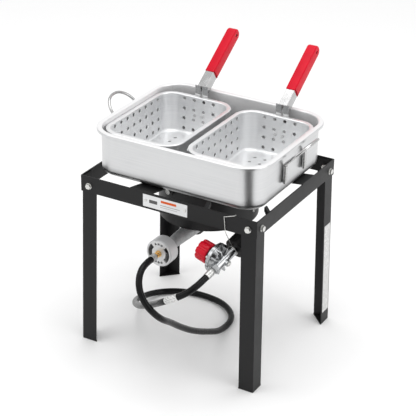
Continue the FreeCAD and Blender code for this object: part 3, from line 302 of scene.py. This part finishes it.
def label_paper(name):
    """White label with faint broken grey rules, no lettering."""
    n = Nodes(name)
    fibre = n.noise(500.0, 4.0, 0.6)
    paper = n.ramp(fibre, [(0.3, (0.62, 0.62, 0.61)), (0.7, (0.72, 0.72, 0.71))])
    lines = n.math("FRACT", n.math("MULTIPLY", n.axes()["Z"], LABEL_LINES), 0.0)
    rows = n.math("GREATER_THAN", lines, 0.52)
    gaps = n.spread(n.noise(220.0, 1.0, 0.4), 0.0, 0.5, 0.40, 0.50)
    n.colour(n.mix(n.math("MULTIPLY", rows, gaps), paper, LABEL_INK))
    n.roughness(n.spread(fibre, 0.38, 0.5))
    n.surface([(fibre, 0.00001)])
    return n.material


# Printed shapes on the name plate: x and z ranges in millimetres, and the ink.
PLATE_PRINT = (
    (-12, 22, 356.5, 361.5, (0.62, 0.10, 0.02)),
    (-38, -20, 350, 357, (0.10, 0.10, 0.10)),
    (-14, 30, 350.4, 351.8, (0.30, 0.30, 0.30)),
    (-14, 24, 346.6, 347.6, (0.34, 0.34, 0.34)),
)


def name_plate():
    """Bare printed plate: one orange bar and faint grey rules, no lettering."""
    n = Nodes("name_plate_metal")
    lines = n.noise(1.0, 3.0, 0.7, n.scaled((12.0, 12.0, 900.0)))
    cloud = n.noise(30.0, 4.0, 0.55)
    colour = n.ramp(cloud, [(0.3, (0.66, 0.665, 0.67)), (0.7, (0.76, 0.765, 0.77))])
    for x0, x1, z0, z1, ink in PLATE_PRINT:
        low = at(x0, 0, z0)
        high = at(x1, 0, z1)
        mask = n.window([("X", low.x, high.x), ("Z", low.z, high.z)])
        colour = n.mix(mask, colour, ink)
    n.colour(colour)
    n.roughness(n.spread(cloud, 0.34, 0.44))
    n.set(Metallic=0.7)
    n.surface([(lines, 0.00001)], edge=0.0003)
    return n.material


MATERIALS = {
    "black_powder_coat": powder_coat(),
    "zinc_hardware": plated_steel("zinc_hardware", (0.72, 0.72, 0.70), 0.26),
    "cast_iron": cast_metal("cast_iron", (0.09, 0.09, 0.088), (0.045, 0.045, 0.044), 0.55, 260.0,
                            0.6),
    "venturi_steel": cast_metal("venturi_steel", (0.42, 0.425, 0.43), (0.30, 0.305, 0.31), 0.50,
                                120.0, 0.35),
    "burner_bracket_steel": plated_steel("burner_bracket_steel", (0.05, 0.05, 0.05), 0.45),
    "shutter_steel": drawn_aluminium("shutter_steel", 0.66, 0.42, (500.0, 12.0, 500.0), 0.5),
    "brass": plated_steel("brass", (0.78, 0.52, 0.22), 0.20),
    "crimped_ferrule": plated_steel("crimped_ferrule", (0.62, 0.62, 0.61), 0.30),
    "hose_rubber": hose_rubber(),
    "label_white": label_paper("label_white"),
    "die_cast_zinc": cast_metal("die_cast_zinc", (0.50, 0.51, 0.52), (0.40, 0.41, 0.42), 0.20,
                                90.0),
    "knob_red_plastic": plastic("knob_red_plastic", (0.62, 0.003, 0.020), 0.26, 0.15),
    "nut_black_plastic": plastic("nut_black_plastic", (0.012, 0.012, 0.012), 0.42, 0.0, 900.0),
    "name_plate_metal": name_plate(),
    # Pan: inner faces painted brighter (painted light), lowest band painted darker (painted
    # shade).
    "pan_aluminium": drawn_aluminium("pan_aluminium", 0.74, 0.33, inside=0.88,
                                     shade_band=(PAN_LOW, PAINTED_SHADE_RISE)),
    "basket_aluminium": drawn_aluminium("basket_aluminium", 0.99, 0.38),
    "handle_steel": plated_steel("handle_steel", (0.52, 0.52, 0.52), 0.16),
    "grip_red_vinyl": plastic("grip_red_vinyl", (0.64, 0.002, 0.020), 0.38, 0.0, 240.0, 0.00004),
    "rivet_aluminium": plated_steel("rivet_aluminium", (0.68, 0.68, 0.68), 0.24),
}

for row in frame["record"]["subparts"]:
    node = frame["nodes"][row["node"]]
    node.data.materials.clear()
    node.data.materials.append(MATERIALS[row["material_slot"]])


# ---------------------------------------------------------------- shape helpers

def object_from(name, verts, faces, body, slot, smooth=35.0):
    mesh = bpy.data.meshes.new(name)
    mesh.from_pydata([tuple(v) for v in verts], [], faces)
    mesh.validate()
    tidy = bmesh.new()
    tidy.from_mesh(mesh)
    bmesh.ops.recalc_face_normals(tidy, faces=tidy.faces)
    tidy.to_mesh(mesh)
    tidy.free()
    mesh.materials.append(MATERIALS[slot])
    thing = bpy.data.objects.new(name, mesh)
    bpy.context.scene.collection.objects.link(thing)
    finish_piece(thing, body, smooth)
    return thing


def finish_piece(thing, body, smooth=35.0):
    for face in thing.data.polygons:
        face.use_smooth = True
    thing.data.set_sharp_from_angle(angle=math.radians(smooth))
    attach(thing, body)


def ring_faces(rings, count):
    """Four-cornered faces between rings of count points, each ring closed on itself."""
    faces = []
    for ring in range(rings - 1):
        for k in range(count):
            a = ring * count + k
            b = ring * count + (k + 1) % count
            faces.append((a, b, b + count, a + count))
    return faces


def end_faces(rings, count):
    """One face over the first ring and one over the last."""
    return [tuple(range(count)), tuple(range((rings - 1) * count, rings * count))]


def lathe(name, start, axis, profile, body, slot, segments=56, smooth=35.0):
    """Turned piece: profile gives (distance along the axis, radius) in millimetres."""
    axis = Vector(axis).normalized()
    side = axis.orthogonal().normalized()
    other = axis.cross(side)
    verts = []
    for along, radius in profile:
        for k in range(segments):
            turn = 2 * math.pi * k / segments
            spoke = side * math.cos(turn) + other * math.sin(turn)
            verts.append(start + axis * along * MM + spoke * max(radius, 0.001) * MM)
    faces = ring_faces(len(profile), segments) + end_faces(len(profile), segments)
    return object_from(name, verts, faces, body, slot, smooth)


# ---------------------------------------------------------------- hose

HOSE_RADIUS = 6.5
TAG_RUN = 23
TAG_HALF = 12.5
FERRULE_RADIUS = 7.3
HOSE_ROUTE = (
    (0.0, -218.0, 263.5),
    (0.0, -242.7, 263.5),
    (3.2, -265.0, 253.4),
    (11.7, -280.7, 236.4),
    (24.8, -287.0, 216.0),
    (38.9, -282.2, 195.1),
    (50.0, -263.0, 170.2),
    (40.6, -216.2, 137.5),
    (37.2, -168.2, 99.5),
    (37.5, -117.1, 63.9),
    (37.4, -62.4, 33.9),
    (37.7, -7.0, 6.6),
    (34.9, 52.1, 6.6),
    (-9.0, 93.7, 6.6),
    (-69.0, 103.5, 6.6),
    (-121.8, 91.8, 6.6),
    (-164.0, 58.7, 6.8),
    (-169.1, -1.3, 20.7),
    (-143.1, -54.8, 45.1),
    (-107.0, -103.1, 73.6),
    (-68.4, -148.7, 105.6),
    (-28.4, -190.1, 140.5),
    (14.4, -226.6, 174.6),
    (54.4, -261.8, 209.6),
    (89.8, -258.2, 229.7),
    (110.4, -239.3, 244.9),
    (117.3, -211.4, 256.5),
)
GAS_AXIS = Vector((0.222, 0.900, 0.374)).normalized()
REGULATOR = at(127.5, -170.0, 273.7)
OUTLET_REACH = 46.0


def nurbs(name, points, radius):
    curve = bpy.data.curves.new(name, "CURVE")
    curve.dimensions = "3D"
    spline = curve.splines.new("NURBS")
    spline.points.add(len(points) - 1)
    for point, place in zip(spline.points, points):
        point.co = (*place, 1.0)
    spline.order_u = 3
    spline.use_endpoint_u = True
    curve.resolution_u = 20
    curve.bevel_depth = radius
    curve.bevel_resolution = 10
    thing = bpy.data.objects.new(name, curve)
    bpy.context.scene.collection.objects.link(thing)
    return thing


def centre_line(points):
    """Points of the hose's own smooth line."""
    plain = nurbs("line", points, 0.0)
    mesh = bpy.data.meshes.new_from_object(plain)
    line = [v.co.copy() for v in mesh.vertices]
    bpy.data.objects.remove(plain)
    return line


def sleeve_along(name, line, first, last, radius, body, slot, segments=40):
    """Thin sleeve over a stretch of the hose, its edges turned in to the rubber."""
    stretch = line[first:last + 1]
    rings = []
    up = Vector((0, 0, 1))
    for i, p in enumerate(stretch):
        ahead = stretch[min(i + 1, len(stretch) - 1)] - stretch[max(i - 1, 0)]
        ahead.normalize()
        side = ahead.cross(up).normalized()
        rings.append((p, side, side.cross(ahead)))
    grown = [(0, -0.5)] + [(i, 0.0) for i in range(len(rings))] + [(len(rings) - 1, -0.5)]
    verts = []
    for i, extra in grown:
        p, side, over = rings[i]
        for k in range(segments):
            turn = 2 * math.pi * k / segments
            spoke = side * math.cos(turn) + over * math.sin(turn)
            verts.append(p + spoke * (radius + extra) * MM)
    return object_from(name, verts, ring_faces(len(grown), segments), body, slot, 60.0)


def build_hose():
    points = [at(*p) for p in HOSE_ROUTE]
    hose = nurbs("gas_hose", points, HOSE_RADIUS * MM)
    hose.data.materials.append(MATERIALS["hose_rubber"])
    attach(hose, "stand")
    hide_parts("hose")

    line = centre_line(points)
    middle = (points[TAG_RUN] + points[TAG_RUN + 1]) / 2
    near = min(range(len(line)), key=lambda i: (line[i] - middle).length)
    first = near
    while (line[first] - line[near]).length < TAG_HALF * MM:
        first -= 1
    last = near
    while (line[last] - line[near]).length < TAG_HALF * MM:
        last += 1
    tag = sleeve_along("hose_tag_sleeve", line, first, last, HOSE_RADIUS + 0.55, "stand",
                       "label_white")
    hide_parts("hose_tag")

    full = FERRULE_RADIUS
    waist = FERRULE_RADIUS - 0.5
    crimp = [(0, 0), (0, waist), (0.5, full), (3.4, full), (3.8, waist), (4.8, waist), (5.2, full),
             (7.4, full), (7.8, waist), (8.8, waist), (9.2, full)]
    burner_end = lathe("burner_ferrule_crimped", points[0], (0, 1, 0),
                       crimp + [(12.0, full), (13.4, 6.2), (14.0, 5.6), (14.0, 0)],
                       "stand", "crimped_ferrule")
    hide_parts("burner_ferrule")
    outlet = REGULATOR - GAS_AXIS * OUTLET_REACH * MM
    regulator_end = lathe("regulator_ferrule_crimped", outlet, GAS_AXIS,
                          crimp + [(16.5, full), (18.0, 6.6), (19.0, 6.2), (19.0, 0)],
                          "stand", "crimped_ferrule")
    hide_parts("regulator_ferrule")


build_hose()


# ---------------------------------------------------------------- moulded pieces

def pillow(name, outline, half, edge, place, body, slot, steps=5):
    """Slab with rounded rims: outline gives (point, outward direction) pairs in a plane, which
    place(u, v, w) puts in the row frame, w running from -half to half."""
    levels = [(-half + edge * (1 - math.cos(t)), edge * (1 - math.sin(t)))
              for t in [math.pi / 2 * k / steps for k in range(steps + 1)]]
    levels += [(-w, inset) for w, inset in reversed(levels)]
    count = len(outline)
    verts = []
    for w, inset in levels:
        for (u, v), (du, dv) in outline:
            verts.append(place(u - du * inset, v - dv * inset, w))
    faces = ring_faces(len(levels), count) + end_faces(len(levels), count)
    return object_from(name, verts, faces, body, slot)


def rounded_profile(corners, steps=8):
    """Outline of a convex polygon with its own radius at each corner, walked anticlockwise."""
    outline = []
    count = len(corners)
    for i, (point, radius) in enumerate(corners):
        before = Vector(corners[i - 1][0])
        after = Vector(corners[(i + 1) % count][0])
        p = Vector(point)
        back = (before - p).normalized()
        ahead = (after - p).normalized()
        half = back.angle(ahead) / 2
        centre = p + (back + ahead).normalized() * (radius / math.sin(half))
        first = (p + back * (radius / math.tan(half)) - centre)
        last = (p + ahead * (radius / math.tan(half)) - centre)
        start = math.atan2(first.y, first.x)
        sweep = math.atan2(last.y, last.x) - start
        sweep = (sweep + math.pi) % (2 * math.pi) - math.pi
        for k in range(steps + 1):
            t = start + sweep * k / steps
            out = (math.cos(t), math.sin(t))
            outline.append(((centre.x + out[0] * radius, centre.y + out[1] * radius), out))
    return outline


def carve(thing, cutters):
    """Takes the cutters out of a piece and keeps the plain result."""
    for cutter in cutters:
        step = thing.modifiers.new("cut", "BOOLEAN")
        step.operation = "DIFFERENCE"
        step.solver = "EXACT"
        step.object = cutter
    graph = bpy.context.evaluated_depsgraph_get()
    mesh = bpy.data.meshes.new_from_object(thing.evaluated_get(graph))
    thing.modifiers.clear()
    thing.data = mesh
    for cutter in cutters:
        bpy.data.objects.remove(cutter)
    for face in mesh.polygons:
        face.use_smooth = True
    mesh.set_sharp_from_angle(angle=math.radians(35))


def cutter_box(name, place, x, y, z):
    """Eight-cornered cutter, its corners put in the row frame by place."""
    verts = [place(a, b, c) for a in x for b in y for c in z]
    faces = [(0, 1, 3, 2), (4, 6, 7, 5), (0, 4, 5, 1), (2, 3, 7, 6), (0, 2, 6, 4), (1, 5, 7, 3)]
    return object_from(name, verts, faces, "stand", "grip_red_vinyl")


def cutter_round(name, start, axis, length, radius):
    return lathe(name, start, axis, [(0, 0), (0, radius), (length, radius), (length, 0)],
                 "stand", "grip_red_vinyl", 40)


# Grip measures in the handle's own frame, in millimetres.
HANDLE_ANGLE = math.radians(34.5)
GRIP_START = 38.0
GRIP_END = 155.6
GRIP_BELOW = -23.4
GRIP_ABOVE = 1.6
GRIP_HALF = 10.6
GRIP_RIM = 3.0
HOLLOW_HALF = 7.2
HANG_HOLE = (143, -11)
HANG_HOLE_RADIUS = 3.6


def handle_place(cx):
    """From the handle's own frame (x across, y along, z out of its top face) to the row frame."""
    foot = at(cx, 123.2, 479.0)
    along = Vector((0, math.cos(HANDLE_ANGLE), math.sin(HANDLE_ANGLE)))
    out = Vector((0, -math.sin(HANDLE_ANGLE), math.cos(HANDLE_ANGLE)))
    return lambda x, y, z: foot + (Vector((1, 0, 0)) * x + along * y + out * z) * MM


def build_grip(side, cx):
    """Dipped vinyl grip: soft edges, a rolled mouth, hollow below, a hole to hang it by."""
    place = handle_place(cx)
    body = "basket_" + side
    outline = rounded_profile([((GRIP_START, GRIP_BELOW), 1.6), ((GRIP_END, GRIP_BELOW), 11.4),
                               ((GRIP_END, GRIP_ABOVE), 11.4), ((GRIP_START, GRIP_ABOVE), 1.4)])
    grip = pillow("grip_" + side, outline, GRIP_HALF, GRIP_RIM, lambda u, v, w: place(w, u, v),
                  body, "grip_red_vinyl")
    hollow = cutter_box("hollow", place, (-HOLLOW_HALF, HOLLOW_HALF),
                        (GRIP_START - 4, GRIP_END - 13), (-29, -1.5))
    hole = cutter_round("hole", place(-16, *HANG_HOLE), (1, 0, 0), 32, HANG_HOLE_RADIUS)
    carve(grip, [hollow, hole])
    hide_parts("basket_grip_" + side)


# Knob profile from the bottom of its hollow, over its open rim, to the middle of its front face:
# (distance from the gas line, radius) in millimetres. Radii over LOBED_OVER carry the lobes.
KNOB_PROFILE = (
    (49.0, 0), (49.0, 13.0), (48.2, 14.6), (46.5, 15.4), (28.4, 15.8), (27.7, 16.2),
    (27.5, 16.8), (27.5, 18.4), (27.8, 19.3), (28.4, 19.9), (29.4, 20.15), (50.4, 20.15),
    (51.5, 19.8), (52.3, 18.9), (52.5, 17.6), (52.5, 0),
)
KNOB_LOBES = 8
LOBED_OVER = 17.5
LOBE_HEIGHT = 1.15
KNOB_STEPS = 288


def build_knob():
    """Adjusting knob with broad lobes, soft rims and a deep hollow towards the body."""
    axis = Vector((-0.966, 0.179, 0.145))
    axis = (axis - GAS_AXIS * axis.dot(GAS_AXIS)).normalized()
    side = axis.cross(GAS_AXIS)
    ahead = side.cross(axis)

    verts = []
    for along, radius in KNOB_PROFILE:
        for k in range(KNOB_STEPS):
            turn = 2 * math.pi * k / KNOB_STEPS
            notch = math.tanh(5.0 * (math.cos(KNOB_LOBES * turn) + 0.55))
            lobed = radius + (LOBE_HEIGHT * notch - 0.4 if radius > LOBED_OVER else 0.0)
            spoke = ahead * math.cos(turn) + side * math.sin(turn)
            verts.append(REGULATOR + (axis * along + spoke * max(lobed, 0.001)) * MM)
    knob = object_from("regulator_knob_lobed", verts, ring_faces(len(KNOB_PROFILE), KNOB_STEPS),
                       "regulator_knob", "knob_red_plastic")
    lathe("knob_hub", REGULATOR + axis * 42.5 * MM, axis,
          [(0, 4.3), (0, 7.6), (0.4, 8.0), (6.2, 8.0), (6.2, 4.3)], "regulator_knob",
          "knob_red_plastic")
    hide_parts("regulator_knob")


build_grip("left", -90.6)
build_grip("right", 94.6)
build_knob()


# ---------------------------------------------------------------- stage, light and camera

# Lamps: place from the middle of the object and size in metres, and power in watts.
LAMPS = (
    ("key", (-1.4, -1.6, 2.0), (1.6, 1.2), 9),
    ("side", (2.2, -0.2, 0.9), (1.0, 1.6), 10),
    ("top", (0.0, 0.2, 2.4), (1.8, 1.4), 20),
)
FLOOR_HALF = 9.0
FLOOR_Z = -0.0002
FLOOR_TONE = 0.93
SKY_STRENGTH = 0.90


def area_light(name, offset, size, power):
    lamp = bpy.data.lights.new(name, "AREA")
    lamp.shape = "RECTANGLE"
    lamp.size = size[0]
    lamp.size_y = size[1]
    lamp.energy = power
    thing = bpy.data.objects.new(name, lamp)
    thing.location = at(0, 0, 300) + Vector(offset)
    thing.rotation_euler = (-Vector(offset)).to_track_quat("-Z", "Y").to_euler()
    bpy.context.scene.collection.objects.link(thing)


def stage_sheet(name, corners, tone):
    """Flat four-cornered matt sheet of the stage."""
    mesh = bpy.data.meshes.new(name)
    mesh.from_pydata([tuple(c) for c in corners], [], [(0, 1, 2, 3)])
    thing = bpy.data.objects.new(name, mesh)
    bpy.context.scene.collection.objects.link(thing)
    n = Nodes(name + "_paper")
    n.set(Base_Color=(tone, tone, tone, 1), Roughness=0.9, Specular_IOR_Level=0.1)
    mesh.materials.append(n.material)
    return thing


def studio():
    half = FLOOR_HALF
    floor = stage_sheet("floor", [(-half, -half, 0), (half, -half, 0), (half, half, 0),
                                  (-half, half, 0)], FLOOR_TONE)
    floor.location.z = FLOOR_Z

    scene = bpy.context.scene
    scene.world = bpy.data.worlds.new("studio")
    scene.world.use_nodes = True
    sky = scene.world.node_tree.nodes["Background"]
    sky.inputs["Color"].default_value = (1, 1, 1, 1)
    sky.inputs["Strength"].default_value = SKY_STRENGTH
    for lamp in LAMPS:
        area_light(*lamp)
    scene.view_settings.view_transform = "Standard"
    scene.view_settings.look = "None"


# Card in front of the near corner: turns from +X in degrees, distance and height in millimetres.
FLAG_TURNS = (-72, -30)
FLAG_DISTANCE = 520
FLAG_TOP = 620
NEAR_CORNER = (190, -150)


def flag():
    """Tall dark card out in front of the near corner, seen only in the metal's reflections."""
    left, right = FLAG_TURNS
    corners = []
    for turn, z in ((left, 1), (right, 1), (right, FLAG_TOP), (left, FLAG_TOP)):
        corners.append(at(NEAR_CORNER[0] + FLAG_DISTANCE * math.cos(math.radians(turn)),
                          NEAR_CORNER[1] + FLAG_DISTANCE * math.sin(math.radians(turn)), z))
    card = stage_sheet("flag", corners, 0.02)
    card.visible_camera = False
    card.visible_diffuse = False
    card.visible_shadow = False


CAMERA_PLACE = (1316.89, -2318.42, 1623.69)
CAMERA_YAW = math.radians(29.63)
CAMERA_PITCH = math.radians(26.77)
CAMERA_ROLL = math.radians(0.82)


def camera():
    """Camera at the object's three-quarter view from above."""
    ahead = Vector((-math.sin(CAMERA_YAW) * math.cos(CAMERA_PITCH),
                    math.cos(CAMERA_YAW) * math.cos(CAMERA_PITCH), -math.sin(CAMERA_PITCH)))
    level = Vector((math.cos(CAMERA_YAW), math.sin(CAMERA_YAW), 0.0))
    upright = level.cross(ahead)
    right = level * math.cos(CAMERA_ROLL) + upright * math.sin(CAMERA_ROLL)
    up = upright * math.cos(CAMERA_ROLL) - level * math.sin(CAMERA_ROLL)
    lens = bpy.data.cameras.new("camera")
    lens.sensor_width = 36.0
    lens.lens = 129.2
    lens.clip_end = 50.0
    thing = bpy.data.objects.new("camera", lens)
    turn = Matrix((right, up, -ahead)).transposed().to_4x4()
    thing.matrix_world = Matrix.Translation(at(*CAMERA_PLACE)) @ turn
    bpy.context.scene.collection.objects.link(thing)
    bpy.context.scene.camera = thing


studio()
flag()
camera()
bpy.context.view_layer.update()
